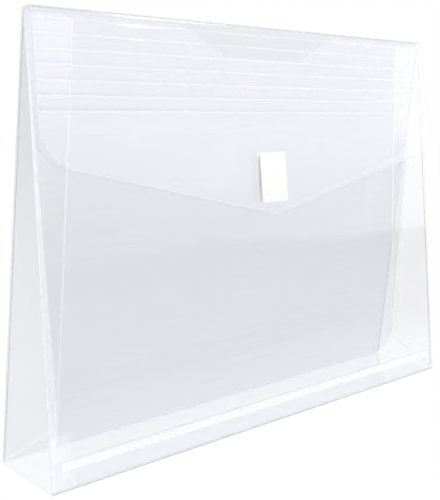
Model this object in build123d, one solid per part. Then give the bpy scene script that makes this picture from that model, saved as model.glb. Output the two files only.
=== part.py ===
"""Clear expansion envelope with a scored, hook-and-loop flap, standing open at its gusseted foot.

Millimetres, +Z up. The origin is the middle of the foot, on the surface that it stands on.
X runs along the width and the front faces -Y.
"""
from build123d import *
from math import asin, cos, degrees, radians, sin, sqrt, tan
import os

# Driving sizes of the envelope
WIDTH = 330.0
PANEL_LENGTH = 238.0
DEPTH = 50.0
SHEET = 0.5
GUSSET_SHEET = 0.3

# Clearances between sheets, and at the creases between two stiff facets
GAP = 0.3
CREASE_TRIM = 0.2
FOLD_GAP = 2.0
FOLD_RISE = 1.8

# Front panel: thumb notch, corner rounding, and the weld to the foot's flange
NOTCH_TOP_WIDTH = 128.0
NOTCH_FLOOR_WIDTH = 66.0
NOTCH_DEPTH = 16.5
NOTCH_RADIUS = 5.0
PANEL_CORNER_RADIUS = 1.5
FLANGE_HEIGHT = 15.0
FLANGE_END_MARGIN = 2.5
WELD_HEIGHT = 11.7
WELD_WIDTH = 4.2
WELD_END_MARGIN = 6.0
WELD_BASE = 0.1
RIB_PITCH = 1.5
RIB_WIDTH = 0.7
RIB_HEIGHT = 0.2
RIB_SLANT = 20.0
RIB_END_INSET = 0.2

# Flap: score lines, then a shallow V with large rounded corners
FLAP_SIDE_INSET = 2.0
FIRST_SCORE = 5.2
SCORE_PITCH = 7.7
SCORE_COUNT = 7
FLAP_SHOULDER = 76.5
FLAP_TIP = 112.7
FLAP_CORNER_RADIUS = 26.0
FLAP_TIP_RADIUS = 3.0

# Hook-and-loop closure
TAB_WIDTH = 22.0
TAB_HEIGHT = 30.0
TAB_CENTRE = 90.2
TAB_RADIUS = 1.0
ADHESIVE = 0.15
HOOK_TAPE = 1.4
LOOP_TAPE = 1.5

# Side gussets: half of the sheet's width, the height of its Y-shaped crease, and the hinge line's inset
GUSSET_HALF_WIDTH = 28.0
CREASE_Y_HEIGHT = 24.0
GUSSET_INSET = 0.6

# Sizes that follow from the ones above
CENTRE_OFFSET = GAP / 2 + GUSSET_SHEET / 2
PANEL_TOP_Y = CENTRE_OFFSET + GUSSET_SHEET / 2 + GAP + SHEET / 2
PIVOT_Y = DEPTH / 2 - SHEET / 2
PIVOT_Z = SHEET + GAP / 2
LEAN = asin((PIVOT_Y - PANEL_TOP_Y) / PANEL_LENGTH)
FOLD_TRIM = (SHEET + GAP) / 2
CLOSURE_STACK = 2 * ADHESIVE + HOOK_TAPE + LOOP_TAPE + GAP
FLAP_LEAN = LEAN + asin((CLOSURE_STACK - FOLD_GAP) / (TAB_CENTRE - TAB_HEIGHT / 2))


def slanted_plane(y, z, lean):
    """A plane along the width that leans back by an angle, with its normal out of the front."""
    return Plane(origin=(0, y, z), x_dir=(1, 0, 0), z_dir=(0, -cos(lean), sin(lean)))


# The flap hangs from a narrow band across the top, creased at its back and at its front.
FRONT = slanted_plane(-PIVOT_Y, PIVOT_Z, LEAN)
FOLD_TOP = FRONT.from_local_coords(Vector(0, PANEL_LENGTH + FOLD_RISE, 0))
BACK_CREASE = Vector(0, -FOLD_TOP.Y, FOLD_TOP.Z)
FRONT_CREASE = Vector(0, -PANEL_TOP_Y - SHEET - FOLD_GAP, FOLD_TOP.Z)
FLAP = slanted_plane(FRONT_CREASE.Y, FRONT_CREASE.Z, FLAP_LEAN)


def slab(plane, outline, low, high):
    """Extrude a flat outline on a plane between two heights along the plane's normal."""
    face = plane.offset(low) * outline
    return extrude(face, amount=high - low, dir=plane.z_dir)


def rounded_outline(points, radii):
    """A closed outline through the points, with a radius for each corner, or 0 where it is sharp."""
    outline = make_face(Polyline(*points, close=True))
    for point, radius in zip(points, radii):
        if radius:
            corner = outline.vertices().sort_by_distance(Vector(*point, 0))[0]
            outline = fillet(corner, radius)
    return outline


def bottom_panel():
    """Flat floor of the foot, the face that the envelope stands on."""
    return Pos(0, 0, SHEET / 2) * Box(WIDTH, DEPTH, SHEET)


def front_panel():
    """Front wall, with the wide thumb notch in its top edge."""
    half, top, notch = WIDTH / 2, PANEL_LENGTH, PANEL_LENGTH - NOTCH_DEPTH
    points = [
        (-half, GAP / 2), (half, GAP / 2), (half, top), (NOTCH_TOP_WIDTH / 2, top),
        (NOTCH_FLOOR_WIDTH / 2, notch), (-NOTCH_FLOOR_WIDTH / 2, notch),
        (-NOTCH_TOP_WIDTH / 2, top), (-half, top),
    ]
    corner, curve = PANEL_CORNER_RADIUS, NOTCH_RADIUS
    outline = rounded_outline(points, [0, 0, corner, 0, curve, curve, 0, corner])
    return slab(FRONT, outline, -SHEET / 2, SHEET / 2)


def front_flange():
    """Upturned front edge of the foot, welded flat against the inside of the front wall."""
    length = FLANGE_HEIGHT - GAP / 2
    width = WIDTH - 2 * FLANGE_END_MARGIN
    outline = Pos(0, GAP / 2 + length / 2) * Rectangle(width, length)
    return slab(FRONT, outline, -1.5 * SHEET, -SHEET / 2)


def weld_seam():
    """Knurled bead that the welding tool leaves along the front, as slanted ribs on a thin band."""
    length = WIDTH - 2 * WELD_END_MARGIN
    band = slab(FRONT, Pos(0, WELD_HEIGHT) * Rectangle(length, WELD_WIDTH), SHEET / 2, SHEET / 2 + WELD_BASE)
    rise = WELD_WIDTH - 2 * RIB_END_INSET
    shift = rise * tan(radians(RIB_SLANT))
    count = int((length - shift - RIB_WIDTH - 2 * RIB_END_INSET) / RIB_PITCH) + 1
    rib = make_face(Polyline(
        (-shift / 2 - RIB_WIDTH / 2, -rise / 2), (-shift / 2 + RIB_WIDTH / 2, -rise / 2),
        (shift / 2 + RIB_WIDTH / 2, rise / 2), (shift / 2 - RIB_WIDTH / 2, rise / 2), close=True,
    ))
    ribs = [Pos((index - (count - 1) / 2) * RIB_PITCH, WELD_HEIGHT) * rib for index in range(count)]
    top = SHEET / 2 + WELD_BASE
    bars = [slab(FRONT, one, top - WELD_BASE / 2, top + RIB_HEIGHT) for one in ribs]
    return band.fuse(*bars)


def back_panel():
    """Back wall, a little taller than the front one, up to the crease that the flap folds over."""
    length = PANEL_LENGTH + FOLD_RISE - FOLD_TRIM - GAP / 2
    outline = Pos(0, GAP / 2 + length / 2) * Rectangle(WIDTH, length)
    return mirror(slab(FRONT, outline, -SHEET / 2, SHEET / 2), about=Plane.XZ)


def top_band():
    """Narrow band of the flap that crosses the top, between its two folds."""
    depth = BACK_CREASE.Y - FRONT_CREASE.Y - 2 * FOLD_TRIM
    middle = (BACK_CREASE + FRONT_CREASE) / 2
    return Pos(*middle) * Box(flap_width(), depth, SHEET)


def flap_width():
    return WIDTH - 2 * FLAP_SIDE_INSET


def score_drop(index):
    """Distance of a score line below the fold at the flap's top."""
    return FIRST_SCORE + SCORE_PITCH * (index - 1)


def flap_slab(outline):
    return slab(FLAP, outline, -SHEET / 2, SHEET / 2)


def flap_strip(index):
    """Band of the flap that ends at the given score line."""
    start = FOLD_TRIM if index == 1 else score_drop(index - 1) + CREASE_TRIM
    end = score_drop(index) - CREASE_TRIM
    return flap_slab(Pos(0, -(start + end) / 2) * Rectangle(flap_width(), end - start))


def flap_panel():
    """Main part of the flap, below the last score line: a shallow V with large rounded corners."""
    half = flap_width() / 2
    top = -(score_drop(SCORE_COUNT) + CREASE_TRIM)
    points = [(-half, top), (-half, -FLAP_SHOULDER), (0, -FLAP_TIP), (half, -FLAP_SHOULDER), (half, top)]
    corner = FLAP_CORNER_RADIUS
    return flap_slab(rounded_outline(points, [0, corner, FLAP_TIP_RADIUS, corner, 0]))


def tab_slab(plane, centre, low, high):
    outline = Pos(0, centre) * RectangleRounded(TAB_WIDTH, TAB_HEIGHT, TAB_RADIUS)
    return slab(plane, outline, low, high)


def hook_parts():
    """Hook tape and its adhesive, on the inside of the flap."""
    inside = -SHEET / 2
    adhesive = tab_slab(FLAP, -TAB_CENTRE, inside - ADHESIVE, inside)
    tape = tab_slab(FLAP, -TAB_CENTRE, inside - ADHESIVE - HOOK_TAPE, inside - ADHESIVE)
    return adhesive, tape


def loop_parts():
    """Loop tape and its adhesive, on the outside of the front wall, straight behind the hooks."""
    facing = FLAP.from_local_coords(Vector(0, -TAB_CENTRE, 0))
    height = FRONT.to_local_coords(facing).Y
    outside = SHEET / 2
    adhesive = tab_slab(FRONT, height, outside, outside + ADHESIVE)
    tape = tab_slab(FRONT, height, outside + ADHESIVE, outside + ADHESIVE + LOOP_TAPE)
    return adhesive, tape


def meet_inside(low, low_reach, high, high_reach):
    """Point of the centre plane that lies at two distances from two corners, on the inner side."""
    base = Vector(low.X, -CENTRE_OFFSET, low.Z)
    span = Vector(high.X, -CENTRE_OFFSET, high.Z) - base
    near = low_reach**2 - (low.Y + CENTRE_OFFSET) ** 2
    far = high_reach**2 - (high.Y + CENTRE_OFFSET) ** 2
    along = (span.length**2 + near - far) / (2 * span.length)
    aside = sqrt(near - along**2)
    direction = span.normalized()
    return base + direction * along + Vector(-direction.Z, 0, direction.X) * aside


def gusset_points():
    """Corners of the front half of the right gusset: foot corner, top corner, Y crease, crease top."""
    inset = SHEET / 2 + GAP + GUSSET_SHEET / 2
    side = WIDTH / 2 - GUSSET_INSET
    rise = SHEET + GAP + GUSSET_SHEET / 2
    foot = FRONT.from_local_coords(Vector(side, rise, -inset))
    top = FRONT.from_local_coords(Vector(side, PANEL_LENGTH - GAP, -inset))
    # The creases keep the distances that they have in the flat sheet.
    above = (top - foot).length - CREASE_Y_HEIGHT
    to_foot = sqrt(GUSSET_HALF_WIDTH**2 + CREASE_Y_HEIGHT**2)
    to_top = sqrt(GUSSET_HALF_WIDTH**2 + above**2)
    crease_y = meet_inside(foot, to_foot, top, to_top)
    crest = meet_inside(crease_y, above, top, GUSSET_HALF_WIDTH)
    return foot, top, crease_y, crest


def facet(corners):
    """A stiff triangular facet of gusset sheet, set back from the creases at its edges."""
    first, second, third = corners
    normal = (second - first).cross(third - first).normalized()
    plane = Plane(origin=first, x_dir=(second - first).normalized(), z_dir=normal)
    local = [plane.to_local_coords(corner) for corner in corners]
    outline = make_face(Polyline(*[(point.X, point.Y) for point in local], close=True))
    outline = offset(outline, amount=-CREASE_TRIM, kind=Kind.INTERSECTION)
    return slab(plane, outline, -GUSSET_SHEET / 2, GUSSET_SHEET / 2)


def gusset_facets():
    """The five facets of each side gusset, mirrored from the front half of the right one."""
    foot, top, crease_y, crest = gusset_points()
    middle = Vector(crease_y.X, 0, crease_y.Z)
    back_foot = Vector(foot.X, -foot.Y, foot.Z)
    facets = {}
    for side, name in ((1, "right"), (-1, "left")):
        foot_facet = facet([foot, back_foot, middle])
        lower = facet([foot, top, crease_y])
        upper = facet([top, crest, crease_y])
        if side < 0:
            foot_facet, lower, upper = (mirror(one, about=Plane.YZ) for one in (foot_facet, lower, upper))
        facets[f"gusset_{name}_foot"] = foot_facet
        facets[f"gusset_{name}_front_lower"] = lower
        facets[f"gusset_{name}_front_upper"] = upper
        facets[f"gusset_{name}_back_lower"] = mirror(lower, about=Plane.XZ)
        facets[f"gusset_{name}_back_upper"] = mirror(upper, about=Plane.XZ)
    return facets


def build_nodes():
    """Every node of the envelope by name."""
    hook_adhesive, hook_tab = hook_parts()
    loop_adhesive, loop_tab = loop_parts()
    nodes = {
        "bottom_panel": bottom_panel(),
        "front_panel": front_panel(),
        "front_flange": front_flange(),
        "weld_seam": weld_seam(),
        "loop_adhesive": loop_adhesive,
        "loop_tab": loop_tab,
        "back_panel": back_panel(),
        "top_band": top_band(),
    }
    for index in range(1, SCORE_COUNT + 1):
        nodes[f"flap_strip_{index}"] = flap_strip(index)
    nodes["flap_panel"] = flap_panel()
    nodes["hook_adhesive"] = hook_adhesive
    nodes["hook_tab"] = hook_tab
    nodes.update(gusset_facets())
    return nodes


def main():
    os.makedirs("parts", exist_ok=True)
    for name, solid in build_nodes().items():
        export_step(solid, f"parts/{name}.step")
    print("panel lean", round(degrees(LEAN), 3), "flap lean", round(degrees(FLAP_LEAN), 3))
    print("top fold at", [round(value, 3) for value in FRONT_CREASE])


main()
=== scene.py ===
"""Clear expansion envelope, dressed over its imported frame.

A see-through document envelope stands open on its gusseted foot. Its scored flap hangs over the front
and is held by a white hook-and-loop tab. Sizes in the classes are in millimetres; meshes are in metres.
"""
import sys
import logging
import math
import random
from dataclasses import dataclass
from enum import Enum
from typing import Callable, Sequence

import bmesh
import bpy
from bmesh.types import BMEdge, BMesh, BMFace, BMVert
from bpy.types import Material, Node, NodeSocket, NodeTree, Object
from mathutils import Matrix, Vector


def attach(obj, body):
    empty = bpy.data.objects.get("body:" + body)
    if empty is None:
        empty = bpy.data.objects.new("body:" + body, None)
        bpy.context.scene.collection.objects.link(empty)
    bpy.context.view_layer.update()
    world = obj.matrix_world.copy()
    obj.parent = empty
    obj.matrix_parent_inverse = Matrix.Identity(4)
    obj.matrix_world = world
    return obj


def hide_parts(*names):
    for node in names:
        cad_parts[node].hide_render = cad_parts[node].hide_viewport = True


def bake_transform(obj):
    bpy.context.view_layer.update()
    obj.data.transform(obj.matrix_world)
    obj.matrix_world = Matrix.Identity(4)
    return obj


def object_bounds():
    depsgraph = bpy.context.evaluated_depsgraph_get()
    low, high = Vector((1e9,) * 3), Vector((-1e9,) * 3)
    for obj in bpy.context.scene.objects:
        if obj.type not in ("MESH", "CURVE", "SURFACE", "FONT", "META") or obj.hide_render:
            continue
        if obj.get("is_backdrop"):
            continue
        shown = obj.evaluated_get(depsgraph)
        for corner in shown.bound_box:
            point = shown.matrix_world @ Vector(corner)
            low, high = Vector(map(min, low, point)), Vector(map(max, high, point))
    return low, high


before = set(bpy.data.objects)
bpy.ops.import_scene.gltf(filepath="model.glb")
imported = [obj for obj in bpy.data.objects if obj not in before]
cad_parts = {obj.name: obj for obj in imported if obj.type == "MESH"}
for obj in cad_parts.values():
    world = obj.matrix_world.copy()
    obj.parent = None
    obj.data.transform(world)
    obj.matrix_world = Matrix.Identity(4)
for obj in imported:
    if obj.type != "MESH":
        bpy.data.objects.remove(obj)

CAD_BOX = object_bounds()
LOG = logging.getLogger("envelope")
MM = 0.001
ROUND_PROFILE = 0.5
SHARP_ANGLE = math.radians(40)


# Shared helpers


def linear(colour: str, alpha: float = 1.0) -> tuple[float, float, float, float]:
    """Turn an sRGB hex colour into a linear one.

    Args:
        colour: Six hex digits after a hash sign.
        alpha: Alpha to put behind the colour.

    Returns:
        Red, green, blue and alpha, ready for a shader socket.
    """
    parts = [int(colour[i:i + 2], 16) / 255 for i in (1, 3, 5)]
    red, green, blue = (p / 12.92 if p <= 0.04045 else ((p + 0.055) / 1.055) ** 2.4 for p in parts)
    return red, green, blue, alpha


def add_node(tree: NodeTree, kind: str, settings: dict | None = None,
             inputs: dict | None = None) -> Node:
    """Add one shader node with its settings, its constants and its links.

    Args:
        tree: The node tree that gets the node.
        kind: The node's type name, without the ShaderNode that all of them start with.
        settings: Attributes of the node.
        inputs: Input socket, by name or index, to a constant, an output socket, or a node, which
            gives its first output.

    Returns:
        The new node.
    """
    node = tree.nodes.new("ShaderNode" + kind)
    for name, value in (settings or {}).items():
        setattr(node, name, value)
    for key, value in (inputs or {}).items():
        socket = node.inputs[key]
        if isinstance(value, Node):
            value = value.outputs[0]
        if isinstance(value, NodeSocket):
            tree.links.new(value, socket)
        else:
            socket.default_value = value
    return node


def blank_material(name: str) -> tuple[Material, NodeTree, NodeSocket]:
    """Make a material that has only its coordinates yet.

    Args:
        name: The real material's name.

    Returns:
        The material, its node tree and the Object coordinates for its patterns.
    """
    material = bpy.data.materials.new(name)
    material.use_nodes = True
    tree = material.node_tree
    tree.nodes.clear()
    return material, tree, add_node(tree, "TexCoord").outputs["Object"]


def finish_piece(bm: BMesh, name: str,
                 materials: Sequence[Material]) -> Object:
    """Turn a bmesh into a linked object that shades smoothly between its sharp edges.

    Args:
        bm: The finished bmesh, in metres, already in its place. It is freed.
        name: The piece's name.
        materials: Materials in slot order.

    Returns:
        The new object, at the origin.
    """
    for face in bm.faces:
        face.smooth = True
    for edge in bm.edges:
        if edge.is_boundary or (len(edge.link_faces) == 2 and edge.calc_face_angle(0.0) > SHARP_ANGLE):
            edge.smooth = False
    mesh = bpy.data.meshes.new(name)
    bm.to_mesh(mesh)
    bm.free()
    for material in materials:
        mesh.materials.append(material)
    piece = bpy.data.objects.new(name, mesh)
    bpy.context.scene.collection.objects.link(piece)
    return piece


def settle(piece: Object, body: str, node: str | None = None) -> None:
    """Let a finished piece ride on a body.

    Args:
        piece: The piece.
        body: The body that carries it.
        node: The node that it replaces, if any.
    """
    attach(piece, body)
    if node:
        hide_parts(node)
    LOG.info("%-32s %6d faces  on %s", piece.name, len(piece.data.polygons), body)


def join(piece: Object, bodies: tuple[str, str], start: Vector, end: Vector, slot: str) -> None:
    """Bake a finished piece's transform into its mesh and log the two bodies that it spans; it rides on
    neither.

    Args:
        piece: The piece.
        bodies: The two bodies.
        start: Where the bend would start, on the first body; not used.
        end: Where it would end, on the second; not used.
        slot: The record's slot for its finish; not used.
    """
    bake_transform(piece)
    LOG.info("%-32s %6d faces  %s to %s", piece.name, len(piece.data.polygons), *bodies)


def dress_node(name: str, material: Material) -> None:
    """Give a CAD node that stays in sight its finish.

    Args:
        name: The node's name.
        material: Its finish.
    """
    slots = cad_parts[name].data.materials
    slots.clear()
    slots.append(material)
    LOG.info("%-32s dressed in %s", name, material.name)


@dataclass(frozen=True)
class SheetPlane:
    """A slanted plane that a sheet's flat pattern is laid on.

    The pattern's x runs along x_dir, its y along up, and its height out of the sheet's outer face.
    """

    origin: Vector
    x_dir: Vector
    up: Vector
    normal: Vector

    def point(self, x: float, y: float, height: float = 0.0) -> Vector:
        """Place a pattern point, in millimetres, in the envelope's frame, in metres."""
        return (self.origin + self.x_dir * x + self.up * y + self.normal * height) * MM


def pattern_place(face: BMFace) -> tuple[float, float]:
    """Pattern x and y of a face's middle, in millimetres."""
    x, y = (c / MM for c in face.calc_center_median()[:2])
    return x, y


@dataclass(frozen=True)
class Outline:
    """A convex outline in a flat pattern, as the straight cuts that bound it.

    Each cut is a point and an outward direction, both as pattern x and y in millimetres.
    """

    cuts: tuple[tuple[tuple[float, float], tuple[float, float]], ...]

    @staticmethod
    def through(points: Sequence[tuple[float, float]], radii: Sequence[float], steps: int = 10) -> "Outline":
        """Make an outline through corners that may be rounded.

        Args:
            points: Corners in anticlockwise order.
            radii: Radius at each corner, 0 where it is sharp.
            steps: Cuts that stand for each rounded corner.

        Returns:
            The outline.
        """
        cuts = []
        count = len(points)
        vectors = [Vector(point) for point in points]
        for index, (corner, radius) in enumerate(zip(vectors, radii)):
            following = (vectors[(index + 1) % count] - corner).normalized()
            before = (corner - vectors[index - 1]).normalized()
            out_next = Vector((following.y, -following.x))
            out_last = Vector((before.y, -before.x))
            cuts.append((tuple(corner), tuple(out_next)))
            if not radius:
                continue
            half = out_last.angle(out_next) / 2
            centre = corner - (out_last + out_next).normalized() * radius / math.cos(half)
            for step in range(1, steps):
                turn = out_last.slerp(out_next, step / steps)
                cuts.append((tuple(centre + turn * radius), tuple(turn)))
        return Outline(tuple(cuts))

    def distance(self, x: float, y: float) -> float:
        """Distance outside the nearest cut, negative inside the outline, in millimetres."""
        return max((x - p[0]) * n[0] + (y - p[1]) * n[1] for p, n in self.cuts)

    def cut(self, bm: BMesh, rim: float, keep_inside: bool = True, reach: float = 1e6) -> None:
        """Cut a flat pattern to this outline, with one more line a rim's width in from it.

        Args:
            bm: The pattern, in the XY plane, in metres.
            rim: Width of the rim along the cut edge, in millimetres.
            keep_inside: True to keep what is inside the outline, False to cut it out as an opening.
            reach: Only faces within this distance of the outline are cut.
        """
        shift = -rim if keep_inside else rim
        for point, out in self.cuts:
            for offset in (shift, 0.0):
                centre = (Vector(point) + Vector(out) * offset) * MM
                near = [face for face in bm.faces if self.distance(*pattern_place(face)) < reach]
                edges = {edge for face in near for edge in face.edges}
                verts = {vert for face in near for vert in face.verts}
                bmesh.ops.bisect_plane(
                    bm, geom=[*near, *edges, *verts], dist=1e-7, plane_co=(*centre, 0.0),
                    plane_no=(*out, 0.0), clear_outer=keep_inside and offset == 0.0)
        if not keep_inside:
            inside = [face for face in bm.faces if self.distance(*pattern_place(face)) < 0]
            bmesh.ops.delete(bm, geom=inside, context="FACES")


def sheet_pattern(left: float, right: float, low: float, high: float, cell: float) -> BMesh:
    """Start a rectangular flat pattern of square cells.

    Args:
        left: Lowest pattern x, in millimetres.
        right: Highest pattern x.
        low: Lowest pattern y.
        high: Highest pattern y.
        cell: Rough size of a cell.

    Returns:
        A bmesh in the XY plane, in metres.
    """
    bm = bmesh.new()
    across = max(1, round((right - left) / cell))
    along = max(1, round((high - low) / cell))
    bmesh.ops.create_grid(bm, x_segments=across, y_segments=along, size=0.5)
    bmesh.ops.scale(bm, vec=((right - left) * MM, (high - low) * MM, 1.0), verts=bm.verts)
    bmesh.ops.translate(bm, vec=((left + right) / 2 * MM, (low + high) / 2 * MM, 0.0), verts=bm.verts)
    return bm


def lay_pattern(bm: BMesh, plane: SheetPlane, relief: Callable[[float, float], float]) -> None:
    """Move a flat pattern onto its plane, with the relief that its sheet has there.

    Args:
        bm: The pattern, in the XY plane, in metres.
        plane: Where the pattern lies.
        relief: Height of the sheet's middle above the plane, in millimetres, by pattern x and y.
    """
    for vert in bm.verts:
        x, y = vert.co.x / MM, vert.co.y / MM
        vert.co = plane.point(x, y, relief(x, y))


def thicken(piece: Object, thickness: float) -> None:
    """Give a laid sheet its real thickness, half on each side, with the next slot's finish on its rim.

    Args:
        piece: The sheet.
        thickness: Its thickness in millimetres.
    """
    solid = piece.modifiers.new("thickness", "SOLIDIFY")
    solid.thickness = thickness * MM
    solid.offset = 0.0
    solid.use_even_offset = True
    solid.material_offset_rim = 1


def fold_strip(name: str, start: Vector, end: Vector, arms: Sequence[Vector], radius: float,
               wing: float, thickness: float, material: Material, steps: int = 6,
               taper: float = 1.0) -> Object:
    """Make the rounded outside of a crease, with a narrow wing along each of its two sheets.

    Args:
        name: The piece's name.
        start: One end of the crease, in metres.
        end: Its other end.
        arms: Directions from the crease into the two sheets.
        radius: Radius of the fold's underside, in millimetres.
        wing: Width of each wing.
        thickness: Thickness of the strip.
        material: The fold's finish.
        steps: Facets of the rounded part.
        taper: Length, in millimetres, that the strip stays short of each end.

    Returns:
        The strip.
    """
    axis = (end - start).normalized()
    start = start + axis * taper * MM
    end = end - axis * taper * MM
    first, second = ((arm - axis * arm.dot(axis)).normalized() for arm in arms)
    outward = -(first + second).normalized()
    lay_first = (outward - first * outward.dot(first)).normalized()
    lay_second = (outward - second * outward.dot(second)).normalized()
    angle = lay_first.angle(lay_second)
    if axis.dot(lay_first.cross(lay_second)) < 0:
        angle = -angle
    bm = bmesh.new()
    tip = bm.verts.new(start + (lay_first * radius + first * wing) * MM)
    last = bm.verts.new(start + lay_first * radius * MM)
    bm.edges.new((tip, last))
    for _ in range(steps):
        grown = bmesh.ops.extrude_vert_indiv(bm, verts=[last])
        last = grown["verts"][0]
        bmesh.ops.rotate(bm, verts=[last], cent=start, matrix=Matrix.Rotation(angle / steps, 3, axis))
    grown = bmesh.ops.extrude_vert_indiv(bm, verts=[last])
    bmesh.ops.translate(bm, verts=grown["verts"], vec=second * wing * MM)
    grown = bmesh.ops.extrude_edge_only(bm, edges=bm.edges[:])
    far_end = [v for v in grown["geom"] if isinstance(v, BMVert)]
    bmesh.ops.translate(bm, verts=far_end, vec=end - start)
    bmesh.ops.recalc_face_normals(bm, faces=bm.faces)
    wing_face = bm.faces[:][0]
    wing_face.normal_update()
    if wing_face.normal.dot(lay_first) < 0:
        bmesh.ops.reverse_faces(bm, faces=bm.faces)
    bmesh.ops.solidify(bm, geom=bm.faces[:], thickness=-thickness * MM)
    bmesh.ops.recalc_face_normals(bm, faces=bm.faces)
    return finish_piece(bm, name, [material])


# Finishes


class Zone(Enum):
    """Parts of a sheet that welding has left milky, as spans of x, y and z in millimetres."""

    LEFT_FOOT_CORNER = ((-166.0, -152.5), (-26.0, -18.0), (0.0, 29.0))


@dataclass(frozen=True)
class ClearSheet:
    """Clear polypropylene sheet, extruded and cut.

    It is glass-clear with a faint cool cast, so that each layer dims what is behind it a little. Fine
    haze and handling scuffs catch the light, and its skin mirrors the lamps softly.
    """

    name: str
    tint: str
    haze_colour: str
    haze: float
    gloss: float = 1.0
    roughness: float = 0.06
    scuff: float = 0.05
    streak: float = 90.0
    slant: float = 3.0
    held_back: float = 0.3
    weld_haze: float = 0.1
    zones: tuple[Zone, ...] = ()

    def build(self) -> Material:
        """Make the material."""
        material, tree, where = blank_material(self.name)
        # Broad clouds of haze, about 45 mm across, as a sheet gets from stacking.
        clouds = add_node(tree, "TexNoise", inputs={
            "Vector": where, "Scale": 22.0, "Detail": 3.0})
        # Hair scratches drawn out along the width, about 0.4 mm apart.
        drawn = add_node(tree, "Mapping", inputs={
            "Vector": where, "Scale": (6.0, 140.0, self.streak)})
        hairs = add_node(tree, "TexNoise", inputs={
            "Vector": drawn, "Scale": 4.0, "Detail": 5.0})
        ridge = add_node(tree, "MapRange", inputs={
            "Value": hairs.outputs["Fac"], "From Min": 0.58, "From Max": 0.8, "To Min": 0.0,
            "To Max": self.scuff})
        cloud = add_node(tree, "MapRange", inputs={
            "Value": clouds.outputs["Fac"], "From Min": 0.3, "From Max": 0.7,
            "To Min": self.haze * 0.75, "To Max": self.haze * 1.25})
        milky = add_node(tree, "Math", {"operation": "ADD"},
                         {0: ridge, 1: cloud})
        for zone in self.zones:
            milky = self.add_zone(tree, where, zone, milky)
        # Light crosses more of a sheet that is seen at a slant; where slant is large, as on the gussets, the
        # extra white haze is a painted reflection.
        facing = add_node(tree, "LayerWeight", inputs={"Blend": 0.5}).outputs["Facing"]
        slant = add_node(tree, "Math", {"operation": "POWER"}, {0: facing, 1: 12.0})
        slant = add_node(tree, "Math", {"operation": "MULTIPLY_ADD"},
                         {0: slant, 1: self.slant, 2: 1.0})
        share = add_node(tree, "Math", {"operation": "MULTIPLY", "use_clamp": True},
                         {0: milky, 1: slant})
        # Haze scatters forward, so a sheet holds back less light than it seems to.
        path = add_node(tree, "LightPath")
        lighting = add_node(tree, "Math", {"operation": "MAXIMUM"},
                            {0: path.outputs["Is Shadow Ray"], 1: path.outputs["Is Diffuse Ray"]})
        seen = add_node(tree, "MapRange", inputs={
            "Value": lighting, "To Min": 1.0, "To Max": self.held_back})
        share = add_node(tree, "Math", {"operation": "MULTIPLY"},
                         {0: share, 1: seen})
        pressed = add_node(tree, "Bump", inputs={
            "Height": hairs.outputs["Fac"], "Strength": 0.05, "Distance": 0.0002})
        clear = add_node(tree, "BsdfTransparent", inputs={"Color": linear(self.tint)})
        haze = add_node(tree, "BsdfPrincipled", inputs={
            "Base Color": linear(self.haze_colour), "Roughness": 0.4, "IOR": 1.49,
            "Normal": pressed})
        body = add_node(tree, "MixShader", inputs={
            0: share, 1: clear, 2: haze})
        # Schlick's mirror share of a 1.49 sheet, 4% face on.
        rise = add_node(tree, "Math", {"operation": "POWER"}, {0: facing, 1: 5.0})
        mirror = add_node(tree, "Math", {"operation": "MULTIPLY_ADD", "use_clamp": True},
                          {0: rise, 1: 0.9 * self.gloss, 2: 0.04 * self.gloss})
        mirror = add_node(tree, "Math", {"operation": "MULTIPLY"},
                          {0: mirror, 1: seen})
        skin = add_node(tree, "BsdfAnisotropic", inputs={
            "Color": linear("#FFFFFF"), "Roughness": self.roughness, "Normal": pressed})
        surface = add_node(tree, "MixShader", inputs={
            0: mirror, 1: body, 2: skin})
        add_node(tree, "OutputMaterial", inputs={"Surface": surface})
        return material

    def add_zone(self, tree: NodeTree, where: NodeSocket, zone: Zone,
                 milky: Node) -> Node:
        """Raise the haze inside one welded zone.

        Args:
            tree: The material's node tree.
            where: Object coordinates.
            zone: The zone.
            milky: The haze so far.

        Returns:
            The haze with the zone.
        """
        split = add_node(tree, "SeparateXYZ", inputs={0: where})
        inside = None
        for axis in range(3):
            low, high = zone.value[axis]
            centre, half = (low + high) / 2 * MM, (high - low) / 2 * MM
            near = add_node(tree, "Math", {"operation": "COMPARE"},
                            {0: split.outputs[axis], 1: centre, 2: half})
            if inside is not None:
                near = add_node(tree, "Math", {"operation": "MULTIPLY"},
                                {0: inside, 1: near})
            inside = near
        return add_node(tree, "Math", {"operation": "MULTIPLY_ADD"},
                        {0: inside, 1: self.weld_haze, 2: milky})


@dataclass(frozen=True)
class WhitenedEdge:
    """White cover on clear film: the adhesive's own haze, and painted highlights on edges, folds, score
    ridges and the weld.

    On edges, folds and score ridges the white cover is a painted highlight, and a grey clear tint paints a
    darker outline; on the knurled weld the white is partly frosting and partly a painted highlight.
    """

    name: str
    colour: str
    cover: float
    clear: str = "#FFFFFF"
    rough: float = 0.3
    grain: float = 900.0

    def build(self) -> Material:
        """Make the material."""
        material, tree, where = blank_material(self.name)
        # Noise about 1 mm apart varies the white cover and its bump; on edges and folds it breaks up the
        # painted highlight.
        cover_noise = add_node(tree, "TexNoise", inputs={
            "Vector": where, "Scale": self.grain, "Detail": 2.0})
        cover = add_node(tree, "MapRange", inputs={
            "Value": cover_noise.outputs["Fac"], "From Min": 0.35, "From Max": 0.65,
            "To Min": self.cover * 0.8, "To Max": min(1.0, self.cover * 1.15)})
        cover_bump = add_node(tree, "Bump", inputs={
            "Height": cover_noise.outputs["Fac"], "Strength": 0.2, "Distance": 0.0001})
        clear = add_node(tree, "BsdfTransparent", inputs={"Color": linear(self.clear)})
        white = add_node(tree, "BsdfPrincipled", inputs={
            "Base Color": linear(self.colour), "Roughness": self.rough, "IOR": 1.49,
            "Normal": cover_bump})
        surface = add_node(tree, "MixShader", inputs={
            0: cover, 1: clear, 2: white})
        add_node(tree, "OutputMaterial", inputs={"Surface": surface})
        return material


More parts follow.
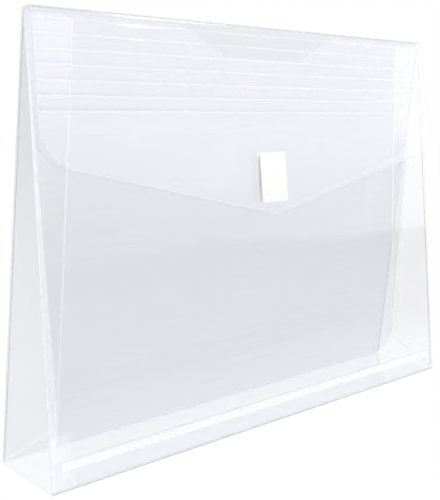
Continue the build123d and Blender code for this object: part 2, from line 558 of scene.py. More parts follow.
@dataclass(frozen=True)
class NylonTape:
    """White nylon hook or loop tape, woven and dyed.

    A matt, slightly warm white with the fine rows of its weave.
    """

    name: str
    colour: str
    shade: str
    pitch: float
    sheen: float = 0.0

    def build(self) -> Material:
        """Make the material."""
        material, tree, where = blank_material(self.name)
        rows = add_node(tree, "TexWave", {"wave_type": "BANDS", "bands_direction": "Z"}, {
            "Vector": where, "Scale": 1000 / self.pitch / 20, "Distortion": 1.5, "Detail": 2.0,
            "Detail Scale": 3.0})
        fluff = add_node(tree, "TexNoise", inputs={
            "Vector": where, "Scale": 700.0, "Detail": 4.0})
        mixed = add_node(tree, "Math", {"operation": "MULTIPLY"},
                         {0: rows.outputs["Fac"], 1: fluff.outputs["Fac"]})
        colour = add_node(tree, "Mix", {"data_type": "RGBA"}, {
            "Factor": mixed, "A": linear(self.shade), "B": linear(self.colour)})
        bump = add_node(tree, "Bump", inputs={
            "Height": mixed, "Strength": 0.5, "Distance": 0.0003})
        fabric = add_node(tree, "BsdfPrincipled", inputs={
            "Base Color": colour.outputs["Result"], "Roughness": 0.75, "Normal": bump,
            "Sheen Weight": self.sheen})
        add_node(tree, "OutputMaterial", inputs={"Surface": fabric})
        return material


@dataclass(frozen=True)
class Finishes:
    """The envelope's finishes, one of each."""

    front: Material
    back: Material
    flap: Material
    gusset: Material
    foot: Material
    edge: Material
    crease: Material
    outline: Material
    score: Material
    weld: Material
    adhesive: Material
    hook: Material
    loop: Material

    @staticmethod
    def make() -> "Finishes":
        """Build every finish."""
        return Finishes(
            front=ClearSheet("clear_polypropylene_front_wall", "#FDFDFE", "#F8F9FB", 0.03,
                             zones=(Zone.LEFT_FOOT_CORNER,)).build(),
            back=ClearSheet("clear_polypropylene_back_wall", "#F2F3F5", "#F5F6F8", 0.03).build(),
            flap=ClearSheet("clear_polypropylene_flap", "#FDFDFE", "#FAFBFD", 0.03).build(),
            # On the gussets a steep slant share makes the white haze grow at grazing angles: a painted
            # reflection of the bright light that the slanted facets mirror.
            gusset=ClearSheet("thin_clear_polypropylene_gusset", "#FFFFFF", "#FFFFFF", 0.05,
                              slant=80.0).build(),
            foot=ClearSheet("clear_polypropylene_foot", "#FCFCFD", "#FAFAFC", 0.06).build(),
            # These finishes paint light: white highlights along cut edges, creases and score ridges, grey
            # outlines along folded rims, and a highlight over the weld's frosting; the adhesive's white is
            # its own haze.
            edge=WhitenedEdge("cut_polypropylene_edge", "#FFFFFF", 0.3, "#EEEFF2").build(),
            crease=WhitenedEdge("creased_polypropylene_fold", "#FFFFFF", 0.3, "#FDFDFE").build(),
            outline=WhitenedEdge("folded_polypropylene_rim", "#FBFCFC", 0.15, "#F1F2F3").build(),
            score=WhitenedEdge("scored_polypropylene_line", "#FFFFFF", 0.13).build(),
            weld=WhitenedEdge("knurled_polypropylene_weld", "#FFFFFF", 0.25, rough=0.6).build(),
            adhesive=WhitenedEdge("clear_acrylic_adhesive_film", "#FAFAF6", 0.2).build(),
            hook=NylonTape("woven_nylon_hook_tape", "#F3F3EF", "#EDECE7", 1.4).build(),
            loop=NylonTape("napped_nylon_loop_tape", "#FAFAF6", "#F0EFE9", 0.9, sheen=0.4).build(),
        )


# The envelope


class Side(Enum):
    """The envelope's two ends, with the sign of x there."""

    RIGHT = 1
    LEFT = -1

    @property
    def word(self) -> str:
        """The side's name as the frame has it."""
        return self.name.lower()


@dataclass(frozen=True)
class EnvelopeSizes:
    """Sizes of the whole envelope that its sub-assemblies share, in millimetres."""

    width: float = 330.0
    panel_length: float = 238.0
    depth: float = 50.0
    sheet: float = 0.5
    gusset_sheet: float = 0.3
    gap: float = 0.3
    fold_gap: float = 2.0
    fold_rise: float = 1.8
    closure_stack: float = 3.5
    tab_centre: float = 90.2
    tab_height: float = 30.0
    rim: float = 0.6

    @property
    def panel_top_y(self) -> float:
        """Distance of a wall's top from the middle of the mouth."""
        return self.gap * 1.5 + self.gusset_sheet + self.sheet / 2

    @property
    def lean(self) -> float:
        """Angle that each wall leans in."""
        return math.asin((self.depth / 2 - self.sheet / 2 - self.panel_top_y) / self.panel_length)

    @property
    def flap_lean(self) -> float:
        """Angle that the flap hangs at."""
        reach = self.tab_centre - self.tab_height / 2
        return self.lean + math.asin((self.closure_stack - self.fold_gap) / reach)

    def wall_plane(self, front: bool) -> SheetPlane:
        """The plane in the middle of a wall, with its x along the width.

        Args:
            front: True for the front wall.

        Returns:
            The plane, with its normal on the wall's outer side.
        """
        sign = -1.0 if front else 1.0
        lean = self.lean
        return SheetPlane(
            Vector((0.0, sign * (self.depth / 2 - self.sheet / 2), self.sheet + self.gap / 2)),
            Vector((-sign, 0.0, 0.0)), Vector((0.0, -sign * math.sin(lean), math.cos(lean))),
            Vector((0.0, sign * math.cos(lean), math.sin(lean))))

    @property
    def fold_height(self) -> float:
        """Height of the flap's two top folds."""
        length = self.panel_length + self.fold_rise
        return self.sheet + self.gap / 2 + length * math.cos(self.lean)

    @property
    def back_fold_y(self) -> float:
        """Place of the fold between the back wall and the top band."""
        length = self.panel_length + self.fold_rise
        return self.depth / 2 - self.sheet / 2 - length * math.sin(self.lean)

    @property
    def front_fold_y(self) -> float:
        """Place of the fold between the top band and the flap."""
        return -self.panel_top_y - self.sheet - self.fold_gap

    @property
    def flap_plane(self) -> SheetPlane:
        """The plane that the flap hangs in, with pattern y upward from the front fold."""
        lean = self.flap_lean
        return SheetPlane(
            Vector((0.0, self.front_fold_y, self.fold_height)), Vector((1.0, 0.0, 0.0)),
            Vector((0.0, math.sin(lean), math.cos(lean))), Vector((0.0, -math.cos(lean), math.sin(lean))))


@dataclass
class Walls:
    """Front and back wall, one sheet each, with the thumb notch in the front one."""

    sizes: EnvelopeSizes
    finishes: Finishes
    cell: float = 7.0
    notch_top: float = 128.0
    notch_floor: float = 66.0
    notch_depth: float = 16.5
    notch_radius: float = 5.0
    corner_radius: float = 1.5
    corner_steps: int = 4
    notch_overshoot: float = 9.0
    notch_steps: int = 6
    notch_reach: float = 8.0
    ripple: float = 0.22
    wave: tuple[float, float] = (31.0, 57.0)
    cross_wave: tuple[float, float] = (67.0, -34.0)
    cross_share: float = 0.7
    cross_phase: float = 1.3
    still_foot: float = 30.0
    still_top: float = 12.0
    still_margin: float = 40.0

    def relief(self, x: float, y: float) -> float:
        """Slow ripples of a free sheet, still at its edges and welded foot.

        Args:
            x: Pattern x in millimetres.
            y: Pattern y.

        Returns:
            Height of the sheet's middle above its plane.
        """
        s = self.sizes
        edge = min(s.width / 2 - abs(x), y - self.still_foot, s.panel_length - self.still_top - y)
        free = min(max(edge / self.still_margin, 0.0), 1.0)
        wave = math.sin(x / self.wave[0] + y / self.wave[1])
        cross = math.sin(x / self.cross_wave[0] + y / self.cross_wave[1] + self.cross_phase)
        return self.ripple * free * free * (1.3 + (wave + self.cross_share * cross)) / 2

    def build_wall(self, front: bool) -> None:
        """Make one wall: the front one with its notch, the back one up to the flap's crease.

        Args:
            front: True for the front wall.
        """
        s = self.sizes
        half, low = s.width / 2, s.gap / 2
        top = s.panel_length if front else s.panel_length + s.fold_rise - (s.sheet + s.gap) / 2
        corners = [(-half, low), (half, low), (half, top), (-half, top)]
        bm = sheet_pattern(-half, half, low, top, self.cell)
        outer = Outline.through(corners, [0, 0, 0, 0])
        if front:
            r = self.corner_radius
            Outline.through(corners, [0, 0, r, r], self.corner_steps).cut(bm, s.rim)
            floor, wide, bottom = self.notch_floor / 2, self.notch_top / 2, top - self.notch_depth
            notch = Outline.through(
                [(-floor, bottom), (floor, bottom), (wide, top), (wide, top + self.notch_overshoot),
                 (-wide, top + self.notch_overshoot), (-wide, top)],
                [self.notch_radius, self.notch_radius, 0, 0, 0, 0], self.notch_steps)
            notch.cut(bm, s.rim, keep_inside=False, reach=self.notch_reach)
            self.mark_rim(bm, lambda x, y: min(-outer.distance(x, y), notch.distance(x, y)))
        else:
            outer.cut(bm, s.rim)
            self.mark_rim(bm, lambda x, y: -outer.distance(x, y))
        lay_pattern(bm, s.wall_plane(front), self.relief)
        word = "front" if front else "back"
        # The rim slot's edge finish paints a bright highlight and a darker outline along the sheet's edges.
        piece = finish_piece(bm, f"{word}_wall_sheet",
                             [self.finishes.front if front else self.finishes.back, self.finishes.edge])
        thicken(piece, s.sheet)
        settle(piece, word, f"{word}_panel")

    def mark_rim(self, bm: BMesh, inset: Callable[[float, float], float]) -> None:
        """Give the cut edge's finish to faces less than a rim's width from an edge.

        Args:
            bm: The flat pattern, in metres.
            inset: Distance in from the nearest edge, in millimetres, by pattern x and y.
        """
        for face in bm.faces:
            face.material_index = int(inset(*pattern_place(face)) < self.sizes.rim)

    def build(self) -> None:
        """Make both walls."""
        for front in (True, False):
            self.build_wall(front)


@dataclass
class Flap:
    """The scored flap: seven narrow bands, then a wide V with rounded corners.

    Its right end stands off the front wall by several millimetres, as it does once it has been opened.
    """

    sizes: EnvelopeSizes
    finishes: Finishes
    side_inset: float = 2.0
    first_score: float = 5.2
    score_pitch: float = 7.7
    score_count: int = 7
    shoulder: float = 76.5
    tip: float = 112.7
    corner_radius: float = 26.0
    tip_radius: float = 3.0
    corner_steps: int = 14
    trim: float = 0.2
    cell: float = 4.0
    band_cell: float = 1.5
    bow: float = 9.0
    bow_start: float = 30.0
    bow_top: float = 3.0
    bow_below: float = 4.0
    bow_across: float = 1.8
    bow_down: float = 2.0
    crown: float = 0.28
    ridge_width: float = 1.3
    ridge_height: float = 0.3
    ridge_skin: float = 0.1
    ridge_steps: int = 6
    ridge_spans: int = 80
    fold_wing: float = 0.7
    fold_skin: float = 0.12
    fold_reach: float = 0.45

    @property
    def half(self) -> float:
        """Half of the flap's width."""
        return self.sizes.width / 2 - self.side_inset

    def score(self, index: int) -> float:
        """Distance of a score line below the front fold."""
        return self.first_score + self.score_pitch * (index - 1)

    def stand_off(self, x: float, y: float) -> float:
        """How far the bowed flap stands off its plane.

        Args:
            x: Pattern x in millimetres.
            y: Pattern y, negative below the front fold.

        Returns:
            The distance in millimetres.
        """
        across = min(max((x - self.bow_start) / (self.half - self.bow_start), 0.0), 1.0)
        down = min(max((-y - self.bow_top) / (self.shoulder + self.bow_below), 0.0), 1.0)
        return self.bow * across ** self.bow_across * down ** self.bow_down

    def band_relief(self, start: float, end: float) -> Callable[[float, float], float]:
        """Relief of one band: the flap's bow and the band's own slight crown.

        Args:
            start: Distance of the band's upper edge below the front fold.
            end: Distance of its lower edge.

        Returns:
            A function from pattern x and y to height, in millimetres.
        """
        def relief(x: float, y: float) -> float:
            """Height at a pattern point."""
            along = min(max((-y - start) / (end - start), 0.0), 1.0)
            return self.stand_off(x, y) + self.crown * math.sin(math.pi * along)
        return relief

    def sides_only(self, bm: BMesh) -> None:
        """Give the cut edge's finish to the faces along both sides.

        Args:
            bm: The flat pattern, in metres.
        """
        for face in bm.faces:
            x = face.calc_center_median().x / MM
            face.material_index = int(self.half - abs(x) < self.sizes.rim)

    def place(self, bm: BMesh, name: str, body: str, node: str) -> None:
        """Finish and thicken one part of the flap, and let it stand for its node.

        Args:
            bm: The laid sheet.
            name: The piece's name.
            body: The body that carries it.
            node: The node that it replaces.
        """
        # The rim slot's edge finish paints a bright highlight and a darker outline along the flap's sides.
        piece = finish_piece(bm, name, [self.finishes.flap, self.finishes.edge])
        thicken(piece, self.sizes.sheet)
        settle(piece, body, node)

    def build_band(self, index: int) -> None:
        """Make the band that ends at a score line.

        Args:
            index: The score line, from 1 at the top.
        """
        s = self.sizes
        start = (s.sheet + s.gap) / 2 if index == 1 else self.score(index - 1) + self.trim
        end = self.score(index) - self.trim
        bm = sheet_pattern(-self.half, self.half, -end, -start, self.band_cell)
        for x in (-self.half + s.rim, self.half - s.rim):
            bmesh.ops.bisect_plane(bm, geom=[*bm.faces, *bm.edges, *bm.verts], dist=1e-7,
                                   plane_co=(x * MM, 0, 0), plane_no=(1, 0, 0))
        self.sides_only(bm)
        lay_pattern(bm, s.flap_plane, self.band_relief(start, end))
        self.place(bm, f"flap_band_sheet_{index}", f"flap_band_{index}", f"flap_strip_{index}")

    def build_panel(self) -> None:
        """Make the wide part below the last score line."""
        s = self.sizes
        top = -(self.score(self.score_count) + self.trim)
        bm = sheet_pattern(-self.half, self.half, -self.tip, top, self.cell)
        outline = Outline.through(
            [(-self.half, top), (-self.half, -self.shoulder), (0.0, -self.tip),
             (self.half, -self.shoulder), (self.half, top)],
            [0, self.corner_radius, self.tip_radius, self.corner_radius, 0], self.corner_steps)
        outline.cut(bm, s.rim)
        bmesh.ops.remove_doubles(bm, verts=bm.verts, dist=1e-6)
        for face in bm.faces:
            x, y = pattern_place(face)
            near_top = top - y < s.rim and self.half - abs(x) > s.rim
            face.material_index = int(-outline.distance(x, y) < s.rim and not near_top)
        lay_pattern(bm, s.flap_plane, self.stand_off)
        self.place(bm, "flap_main_sheet", "flap", "flap_panel")

    def build_ridge(self, index: int) -> None:
        """Make the low ridge that the scoring rule pressed up along a score line.

        Args:
            index: The score line, from 1 at the top.
        """
        s = self.sizes
        drop = self.score(index)
        bm = bmesh.new()
        half, height = self.ridge_width / 2, self.ridge_height
        radius = (half ** 2 + height ** 2) / (2 * height)
        reach = math.asin(half / radius)
        last = bm.verts.new((-self.half * MM, (-drop - half) * MM, (s.sheet / 2) * MM))
        centre = Vector((-self.half, -drop, s.sheet / 2 + height - radius)) * MM
        for _ in range(self.ridge_steps):
            last = bmesh.ops.extrude_vert_indiv(bm, verts=[last])["verts"][0]
            bmesh.ops.rotate(bm, verts=[last], cent=centre,
                             matrix=Matrix.Rotation(-2 * reach / self.ridge_steps, 3, "X"))
        edges = bm.edges[:]
        for _ in range(self.ridge_spans):
            grown = bmesh.ops.extrude_edge_only(bm, edges=edges)["geom"]
            edges = [e for e in grown if isinstance(e, BMEdge)
                     and all(v in grown for v in e.verts)]
            bmesh.ops.translate(bm, vec=(2 * self.half / self.ridge_spans * MM, 0, 0),
                                verts=[v for v in grown if isinstance(v, BMVert)])
        for vert in bm.verts:
            x, y, height_here = (c / MM for c in vert.co)
            vert.co = s.flap_plane.point(x, y, height_here + self.stand_off(x, y))
        bmesh.ops.recalc_face_normals(bm, faces=bm.faces)
        bm.normal_update()
        if sum(f.normal.dot(s.flap_plane.normal) for f in bm.faces) < 0:
            bmesh.ops.reverse_faces(bm, faces=bm.faces)
        bmesh.ops.solidify(bm, geom=bm.faces[:], thickness=self.ridge_skin * MM)
        bmesh.ops.recalc_face_normals(bm, faces=bm.faces)
        # The score finish paints a bright highlight along the ridge.
        piece = finish_piece(bm, f"score_ridge_{index}", [self.finishes.score])
        below = f"flap_band_{index + 1}" if index < self.score_count else "flap"
        join(piece, (f"flap_band_{index}", below), s.flap_plane.point(0, -drop + half),
             s.flap_plane.point(0, -drop - half), "flap_sheet")

    def build_top_folds(self) -> None:
        """Make the two rounded folds that carry the flap over the top."""
        s = self.sizes
        for name, y, arms, bodies in (
            ("top_fold_back", s.back_fold_y,
             (-s.wall_plane(False).up, Vector((0.0, -1.0, 0.0))), ("back", "top_band")),
            ("top_fold_front", s.front_fold_y,
             (Vector((0.0, 1.0, 0.0)), -s.flap_plane.up), ("top_band", "flap_band_1")),
        ):
            at = Vector((0.0, y, s.fold_height))
            ends = [(at + Vector((x, 0, 0))) * MM for x in (-self.half, self.half)]
            # The rim finish paints a grey outline along both top folds.
            piece = fold_strip(name, *ends, arms, s.sheet / 2 + 0.01, self.fold_wing, self.fold_skin,
                               self.finishes.outline, taper=0.0)
            join(piece, bodies, *((at + arm * self.fold_reach) * MM for arm in arms), "flap_sheet")

    def build(self) -> None:
        """Make the whole flap."""
        for index in range(1, self.score_count + 1):
            self.build_band(index)
            self.build_ridge(index)
        self.build_panel()
        self.build_top_folds()
        dress_node("top_band", self.finishes.flap)


@dataclass
class Gussets:
    """The folding end gussets: their creases, and the finish of their five facets each."""

    sizes: EnvelopeSizes
    finishes: Finishes
    foot_corner: tuple[float, float, float] = (164.4, -23.959, 1.525)
    top_corner: tuple[float, float, float] = (164.4, -0.333, 237.094)
    crease_foot: tuple[float, float, float] = (146.308, -0.3, 23.273)
    crease_top: tuple[float, float, float] = (136.43, -0.3, 235.794)
    clearance: float = 0.02
    skin: float = 0.1

    def corners(self, side: Side, front: bool) -> list[Vector]:
        """Place the four corners that one half of one gusset folds about.

        Args:
            side: Which end of the envelope.
            front: True for the half behind the front wall.

        Returns:
            The corner at the foot, the one at the top, and the crease's foot and top, in metres.
        """
        return [Vector((x * side.value, y if front else -y, z)) * MM
                for x, y, z in (self.foot_corner, self.top_corner, self.crease_foot, self.crease_top)]

    def build_half(self, side: Side, front: bool) -> None:
        """Make the creases of one half of one gusset.

        Args:
            side: Which end of the envelope.
            front: True for the half behind the front wall.
        """
        half = "front" if front else "back"
        facet = f"gusset_{side.word}"
        foot, top, low, high = self.corners(side, front)
        outside = Vector((side.value, 0.0, 0.0))
        inside = Vector((0.0, 1.0 if front else -1.0, 0.0))
        crease = self.finishes.crease
        # The front left corner fold gets the crease finish, a painted white highlight; the other corner folds
        # get the rim finish, a painted grey outline.
        corner = crease if front and side is Side.LEFT else self.finishes.outline
        for name, start, end, arms, wing, finish, body in (
            ("corner_fold", foot, top, (low - foot, -outside), 0.55, corner, half),
            ("gusset_crease", low, top, (foot - low, high - low), 0.5, crease, f"{facet}_{half}_lower"),
            ("centre_fold", low, high, (top - low, outside - inside * 0.2), 0.45, crease,
             f"{facet}_{half}_upper"),
            ("y_fold", foot, low, (top - foot, inside), 0.6, crease, f"{facet}_foot"),
        ):
            piece = fold_strip(f"{name}_{side.word}_{half}", start, end, arms,
                               self.sizes.gusset_sheet / 2 + self.clearance, wing, self.skin, finish)
            settle(piece, body)

    def build(self) -> None:
        """Dress the facets and make every crease."""
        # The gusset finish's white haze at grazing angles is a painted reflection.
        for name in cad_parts:
            if name.startswith("gusset_"):
                dress_node(name, self.finishes.gusset)
        for side in Side:
            for front in (True, False):
                self.build_half(side, front)


@dataclass
class Foot:
    """The flat foot with its welded front flange and folded edges."""

    sizes: EnvelopeSizes
    finishes: Finishes
    fold_inset: float = 0.12
    fold_lift: float = 0.13
    fold_wing: float = 0.8
    fold_skin: float = 0.1
    fold_reach: float = 0.5

    def build_fold(self, front: bool) -> None:
        """Make the rounded fold between the foot and one wall.

        Args:
            front: True for the front wall, whose fold gets a painted grey outline; the back one gets a
                painted white highlight.
        """
        s = self.sizes
        sign = -1.0 if front else 1.0
        word = "front" if front else "back"
        at = Vector((0.0, sign * (s.depth / 2 - s.sheet / 2 - self.fold_inset), s.sheet / 2 + self.fold_lift))
        ends = [(at + Vector((x, 0, 0))) * MM for x in (-s.width / 2, s.width / 2)]
        arms = (Vector((0.0, -sign, 0.0)), s.wall_plane(front).up)
        # The front fold's finish paints a grey outline, the back fold's a white highlight.
        finish = self.finishes.outline if front else self.finishes.crease
        piece = fold_strip(f"foot_fold_{word}", *ends, arms, s.sheet / 2 - 0.01, self.fold_wing,
                           self.fold_skin, finish, taper=0.1)
        join(piece, ("foot", word), *((at + arm * self.fold_reach) * MM for arm in arms), "clear_sheet")

    def build(self) -> None:
        """Dress the foot and make its folds."""
        # The weld seam's white is partly frosting and partly a painted highlight.
        for name, material in (("bottom_panel", self.finishes.foot), ("front_flange", self.finishes.foot),
                               ("weld_seam", self.finishes.weld)):
            dress_node(name, material)
        for front in (True, False):
            self.build_fold(front)


class Tape(Enum):
    """The closure's two tapes: the piece's name, the node that it replaces, and its body."""

    HOOKS = ("hook_tape", "hook_tab", "flap")
    LOOPS = ("loop_tape", "loop_tab", "front")


@dataclass
class Closure:
    """The white hook-and-loop tab: hooks inside the flap, loops on the front wall."""

    sizes: EnvelopeSizes
    finishes: Finishes
    width: float = 22.0
    corner: float = 1.0
    softened: float = 0.12
    adhesive: float = 0.15
    film_gap: float = 0.02
    hook_tape: float = 1.4
    loop_tape: float = 1.5
    backing: float = 0.55
    margin: float = 1.6
    hook_pitch: float = 1.5
    loop_pitch: float = 1.25
    hook_thick: float = 0.34
    loop_thick: float = 0.3
    curl: float = 40.0
    curl_height: float = 1.6
    curl_radius: float = 1.1
    scatter: float = 0.3
    shortest: float = 0.75

    def backing_slab(self, plane: SheetPlane, centre: float, low: float, high: float) -> BMesh:
        """Make a tape's backing: a rounded rectangle with softened edges.

        Args:
            plane: Plane of the sheet that carries the tape.
            centre: Pattern y of the tape's centre.
            low: Height of its lower face above the plane.
            high: Height of its upper face.

        Returns:
            The backing as a bmesh, in place.
        """
        bm = bmesh.new()
        bmesh.ops.create_cube(bm, size=1.0)
        bmesh.ops.scale(bm, vec=Vector((self.width, self.sizes.tab_height, high - low)) * MM, verts=bm.verts)
        upright = [e for e in bm.edges if abs((e.verts[0].co - e.verts[1].co).z) > 1e-6]
        bmesh.ops.bevel(bm, geom=upright, offset=self.corner * MM, offset_type="OFFSET", segments=5,
                        profile=ROUND_PROFILE, affect="EDGES", material=-1)
        flat = [f for f in bm.faces if abs(f.normal.z) > 0.9]
        rims = list({e for f in flat for e in f.edges})
        bmesh.ops.bevel(bm, geom=rims, offset=self.softened * MM, offset_type="OFFSET", segments=2,
                        profile=ROUND_PROFILE, affect="EDGES", material=-1)
        for vert in bm.verts:
            x, y, z = (c / MM for c in vert.co)
            vert.co = plane.point(x, centre + y, (low + high) / 2 + z)
        return bm

    def add_stub(self, bm: BMesh, base: Vector, rise: Vector, lean: Vector, height: float,
                 thick: float) -> None:
        """Add one small hook: a square stem whose end curls over.

        Args:
            bm: The tape's bmesh.
            base: Foot of the hook, in metres.
            rise: Direction away from the tape.
            lean: Direction that its end curls to.
            height: Its height in millimetres.
            thick: Its thickness.
        """
        side = rise.cross(lean)
        ring = [bm.verts.new(base + (lean * a + side * b) * thick * MM / 2)
                for a, b in ((-1, -1), (1, -1), (1, 1), (-1, 1))]
        face = bm.faces.new(ring)
        stem = height - thick * self.curl_height
        centre = base + rise * stem * MM + lean * thick * self.curl_radius * MM
        for turn in (0.0, self.curl, self.curl, self.curl):
            face = bmesh.ops.extrude_discrete_faces(bm, faces=[face])["faces"][0]
            verts = list(face.verts)
            if turn:
                bmesh.ops.rotate(bm, verts=verts, cent=centre,
                                 matrix=Matrix.Rotation(math.radians(turn), 3, side))
            else:
                bmesh.ops.translate(bm, verts=verts, vec=rise * stem * MM)

    def add_pile(self, bm: BMesh, plane: SheetPlane, centre: float, foot: float,
                 tape: Tape) -> None:
        """Cover a tape with rows of hooks that curl up and down, or with tangled loops.

        Args:
            bm: The tape's bmesh.
            plane: Plane of the sheet that carries the tape.
            centre: Pattern y of the tape's centre.
            foot: Height of the pile's foot above the plane.
            tape: Which tape it is.
        """
        loops = tape is Tape.LOOPS
        chance = random.Random(11 if loops else 7)
        rise = plane.normal if loops else -plane.normal
        height = (self.loop_tape if loops else self.hook_tape) - self.backing
        pitch = self.loop_pitch if loops else self.hook_pitch
        columns = int((self.width - self.margin) / pitch)
        rows = int((self.sizes.tab_height - self.margin) / pitch)
        for row in range(rows):
            for column in range(columns):
                x = (column - (columns - 1) / 2) * pitch
                y = (row - (rows - 1) / 2) * pitch
                turn = chance.uniform(0, math.tau) if loops else (math.pi / 2 if column % 2 else -math.pi / 2)
                lean = plane.x_dir * math.cos(turn) + plane.up * math.sin(turn)
                if loops:
                    x += chance.uniform(-self.scatter, self.scatter)
                    y += chance.uniform(-self.scatter, self.scatter)
                tall = height * (chance.uniform(self.shortest, 1.0) if loops else 1.0)
                self.add_stub(bm, plane.point(x, centre + y, foot), rise, lean, tall,
                              self.loop_thick if loops else self.hook_thick)

    def build_tape(self, tape: Tape) -> None:
        """Make the hook tape under the flap or the loop tape that it meets on the front wall.

        Args:
            tape: Which tape to make.
        """
        s = self.sizes
        loops = tape is Tape.LOOPS
        plane = s.wall_plane(True) if loops else s.flap_plane
        centre = (s.flap_plane.point(0, -s.tab_centre) / MM - plane.origin).dot(plane.up)
        outward = 1.0 if loops else -1.0
        near = outward * (s.sheet / 2 + self.adhesive + self.film_gap)
        far = near + outward * self.backing
        bm = self.backing_slab(plane, centre, min(near, far), max(near, far))
        self.add_pile(bm, plane, centre, far, tape)
        bmesh.ops.recalc_face_normals(bm, faces=bm.faces)
        name, node, body = tape.value
        piece = finish_piece(bm, name, [self.finishes.loop if loops else self.finishes.hook])
        settle(piece, body, node)

    def build(self) -> None:
        """Make both tapes and dress their adhesive."""
        for tape in Tape:
            self.build_tape(tape)
        for name in ("hook_adhesive", "loop_adhesive"):
            dress_node(name, self.finishes.adhesive)


# Studio


@dataclass(frozen=True)
class Softbox:
    """One soft rectangular lamp: its place and size in metres, and its power in watts."""

    name: str
    at: tuple[float, float, float]
    size: tuple[float, float]
    power: float


@dataclass
class Studio:
    """Plain pale floor, soft lamps and the camera at the photograph's angle. Places are in metres."""

    camera_at: tuple[float, float, float] = (-0.37884, -0.36815, 0.19265)
    yaw: float = 0.716
    pitch: float = 0.1135
    roll: float = 0.0139
    focal_pixels: float = 850.48
    frame_size: tuple[int, int] = (440, 500)
    principal: tuple[float, float] = (186.4, 201.5)
    ambient: float = 0.9
    far_room: float = 0.08
    bright_side: float = 1.7
    room_slant: float = 0.3
    room_edge: tuple[float, float] = (0.06, 0.36)
    room_back: tuple[float, float] = (-0.35, 0.1)
    floor_fade: tuple[float, float] = (-0.32, 0.04)
    floor_size: float = 4.0
    floor_drop: float = 0.0004
    floor_level: float = 1.008
    floor_share: float = 0.92
    sheet_bounces: int = 48
    aim: tuple[float, float, float] = (0.0, 0.0, 0.13)
    softboxes: tuple[Softbox, ...] = (
        Softbox("key_softbox", (-0.5, -1.5, 1.4), (1.2, 1.0), 6.0),
        Softbox("side_softbox", (1.0, -0.7, 1.3), (0.9, 0.9), 11.0),
        Softbox("left_softbox", (-1.3, 0.1, 0.6), (0.8, 0.8), 1.5),
    )

    def shown_to_eye(self, tree: NodeTree) -> Node:
        """Make the share that is 1 for rays from the camera, off gloss or through glass.

        Args:
            tree: The node tree that gets it.

        Returns:
            The node that holds it.
        """
        path = add_node(tree, "LightPath")
        seen = add_node(tree, "Math", {"operation": "MAXIMUM"},
                        {0: path.outputs["Is Camera Ray"], 1: path.outputs["Is Glossy Ray"]})
        return add_node(tree, "Math", {"operation": "MAXIMUM"},
                        {0: seen, 1: path.outputs["Is Transmission Ray"]})

    def build_world(self) -> None:
        """Make the white surroundings and their soft light."""
        world = bpy.data.worlds.new("white_studio")
        bpy.context.scene.world = world
        world.use_nodes = True
        tree = world.node_tree
        tree.nodes.clear()
        # What gloss mirrors: dim low down in front, bright above that and to the right, white behind.
        towards = add_node(tree, "SeparateXYZ", inputs={
            0: add_node(tree, "TexCoord").outputs["Generated"]})
        tilt = add_node(tree, "Math", {"operation": "MULTIPLY_ADD"},
                        {0: towards.outputs["X"], 1: self.room_slant, 2: towards.outputs["Z"]})
        high = add_node(tree, "MapRange", {"interpolation_type": "SMOOTHSTEP"}, {
            "Value": tilt, "From Min": self.room_edge[0], "From Max": self.room_edge[1],
            "To Min": self.far_room, "To Max": self.bright_side})
        behind = add_node(tree, "MapRange", {"interpolation_type": "SMOOTHSTEP"}, {
            "Value": towards.outputs["Y"], "From Min": self.room_back[0], "From Max": self.room_back[1]})
        mirrored = add_node(tree, "Mix", {"data_type": "FLOAT"}, {
            "Factor": behind, "A": high, "B": 1.0})
        path = add_node(tree, "LightPath")
        strength = add_node(tree, "MapRange", inputs={
            "Value": self.shown_to_eye(tree), "To Min": self.ambient, "To Max": 1.0})
        strength = add_node(tree, "Mix", {"data_type": "FLOAT"}, {
            "Factor": path.outputs["Is Glossy Ray"], "A": strength, "B": mirrored})
        light = add_node(tree, "Background", inputs={
            "Color": linear("#FFFFFF"), "Strength": strength})
        output = add_node(tree, "OutputWorld", inputs={"Surface": light})
        output.is_active_output = True

    def build_floor(self) -> None:
        """Make the pale floor, which stays white to the eye but keeps a faint shadow."""
        bm = bmesh.new()
        bmesh.ops.create_grid(bm, x_segments=8, y_segments=8, size=self.floor_size)
        bmesh.ops.translate(bm, vec=(0, 0, -self.floor_drop), verts=bm.verts)
        material, tree, where = blank_material("matt_white_studio_paper")
        tooth = add_node(tree, "TexNoise", inputs={"Vector": where, "Scale": 400.0})
        bump = add_node(tree, "Bump", inputs={"Height": tooth.outputs["Fac"], "Strength": 0.02})
        paper = add_node(tree, "BsdfDiffuse", inputs={
            "Color": linear("#F4F4F5"), "Normal": bump})
        # Towards the camera's side the floor runs into the dim room, which only gloss shows.
        place = add_node(tree, "SeparateXYZ", inputs={0: where})
        near = add_node(tree, "MapRange", {"interpolation_type": "SMOOTHSTEP"}, {
            "Value": place.outputs["Y"], "From Min": self.floor_fade[0], "From Max": self.floor_fade[1],
            "To Min": self.far_room, "To Max": 1.0})
        path = add_node(tree, "LightPath")
        level = add_node(tree, "Mix", {"data_type": "FLOAT"}, {
            "Factor": path.outputs["Is Glossy Ray"], "A": self.floor_level, "B": near})
        white = add_node(tree, "Emission", inputs={
            "Color": linear("#FFFFFF"), "Strength": level})
        share = add_node(tree, "Math", {"operation": "MULTIPLY"},
                         {0: self.shown_to_eye(tree), 1: self.floor_share})
        surface = add_node(tree, "MixShader", inputs={
            0: share, 1: paper, 2: white})
        add_node(tree, "OutputMaterial", inputs={"Surface": surface})
        floor = finish_piece(bm, "studio_floor", [material])
        floor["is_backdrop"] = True
        LOG.info("%-32s stage", floor.name)

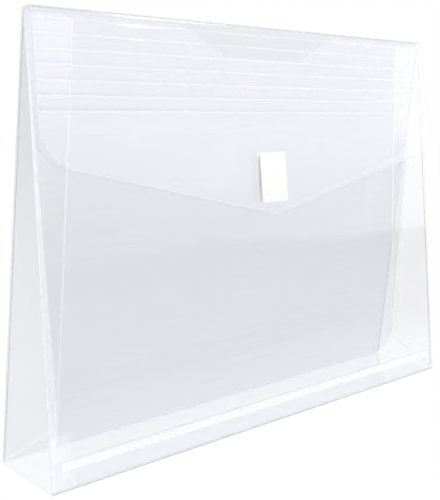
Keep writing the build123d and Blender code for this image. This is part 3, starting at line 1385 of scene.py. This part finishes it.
    def add_lamp(self, softbox: Softbox) -> None:
        """Add one lamp, turned towards the envelope.

        Args:
            softbox: The lamp's name, place, size and power.
        """
        data = bpy.data.lights.new(softbox.name, "AREA")
        data.shape = "RECTANGLE"
        data.size, data.size_y = softbox.size
        data.energy = softbox.power
        lamp = bpy.data.objects.new(softbox.name, data)
        lamp.location = softbox.at
        lamp.rotation_euler = (Vector(self.aim) - Vector(softbox.at)).to_track_quat("-Z", "Y").to_euler()
        bpy.context.scene.collection.objects.link(lamp)
        LOG.info("%-32s lamp, %.1f W", softbox.name, softbox.power)

    def build_camera(self) -> None:
        """Make the camera and aim it as the photograph was taken."""
        width, height = self.frame_size
        data = bpy.data.cameras.new("photograph_camera")
        data.sensor_fit = "AUTO"
        data.sensor_width = 36.0
        data.lens = self.focal_pixels * data.sensor_width / height
        data.shift_x = (width / 2 - self.principal[0]) / height
        data.shift_y = (self.principal[1] - height / 2) / height
        forward = Vector((math.sin(self.yaw) * math.cos(self.pitch),
                          math.cos(self.yaw) * math.cos(self.pitch), -math.sin(self.pitch)))
        right = Vector((math.cos(self.yaw), -math.sin(self.yaw), 0.0))
        up = right.cross(forward)
        turned_right = right * math.cos(self.roll) + up * math.sin(self.roll)
        turned_up = up * math.cos(self.roll) - right * math.sin(self.roll)
        camera = bpy.data.objects.new("photograph_camera", data)
        columns = Matrix((turned_right, turned_up, -forward)).transposed()
        camera.matrix_world = Matrix.Translation(Vector(self.camera_at)) @ columns.to_4x4()
        bpy.context.scene.collection.objects.link(camera)
        bpy.context.scene.camera = camera

    def build(self) -> None:
        """Make the whole studio."""
        scene = bpy.context.scene
        scene.view_settings.view_transform = "Standard"
        # Many clear layers lie behind each other, and light has to pass them all.
        scene.cycles.transparent_max_bounces = self.sheet_bounces
        self.build_world()
        self.build_floor()
        self.build_camera()
        for softbox in self.softboxes:
            self.add_lamp(softbox)


def write_sizes(box: object) -> None:
    """Build the CAD box and the visual model's box as plain lists of numbers; the result is not kept.

    Args:
        box: The CAD model's bounds, as the frame gives them.
    """
    def plain(value: object) -> object:
        """Turn nested vectors into lists."""
        return float(value) if isinstance(value, (int, float)) else [plain(v) for v in value]
    {"cad": plain(box), "visual": plain(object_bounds())}


def main() -> None:
    """Build the envelope and its studio."""
    logging.basicConfig(level=logging.INFO, format="%(message)s", stream=sys.stdout)
    sizes = EnvelopeSizes()
    finishes = Finishes.make()
    for assembly in (Walls(sizes, finishes), Flap(sizes, finishes), Gussets(sizes, finishes),
                     Foot(sizes, finishes), Closure(sizes, finishes), Studio()):
        LOG.info("%s", type(assembly).__name__)
        assembly.build()
    write_sizes(CAD_BOX)


if __name__ == "__main__":
    main()
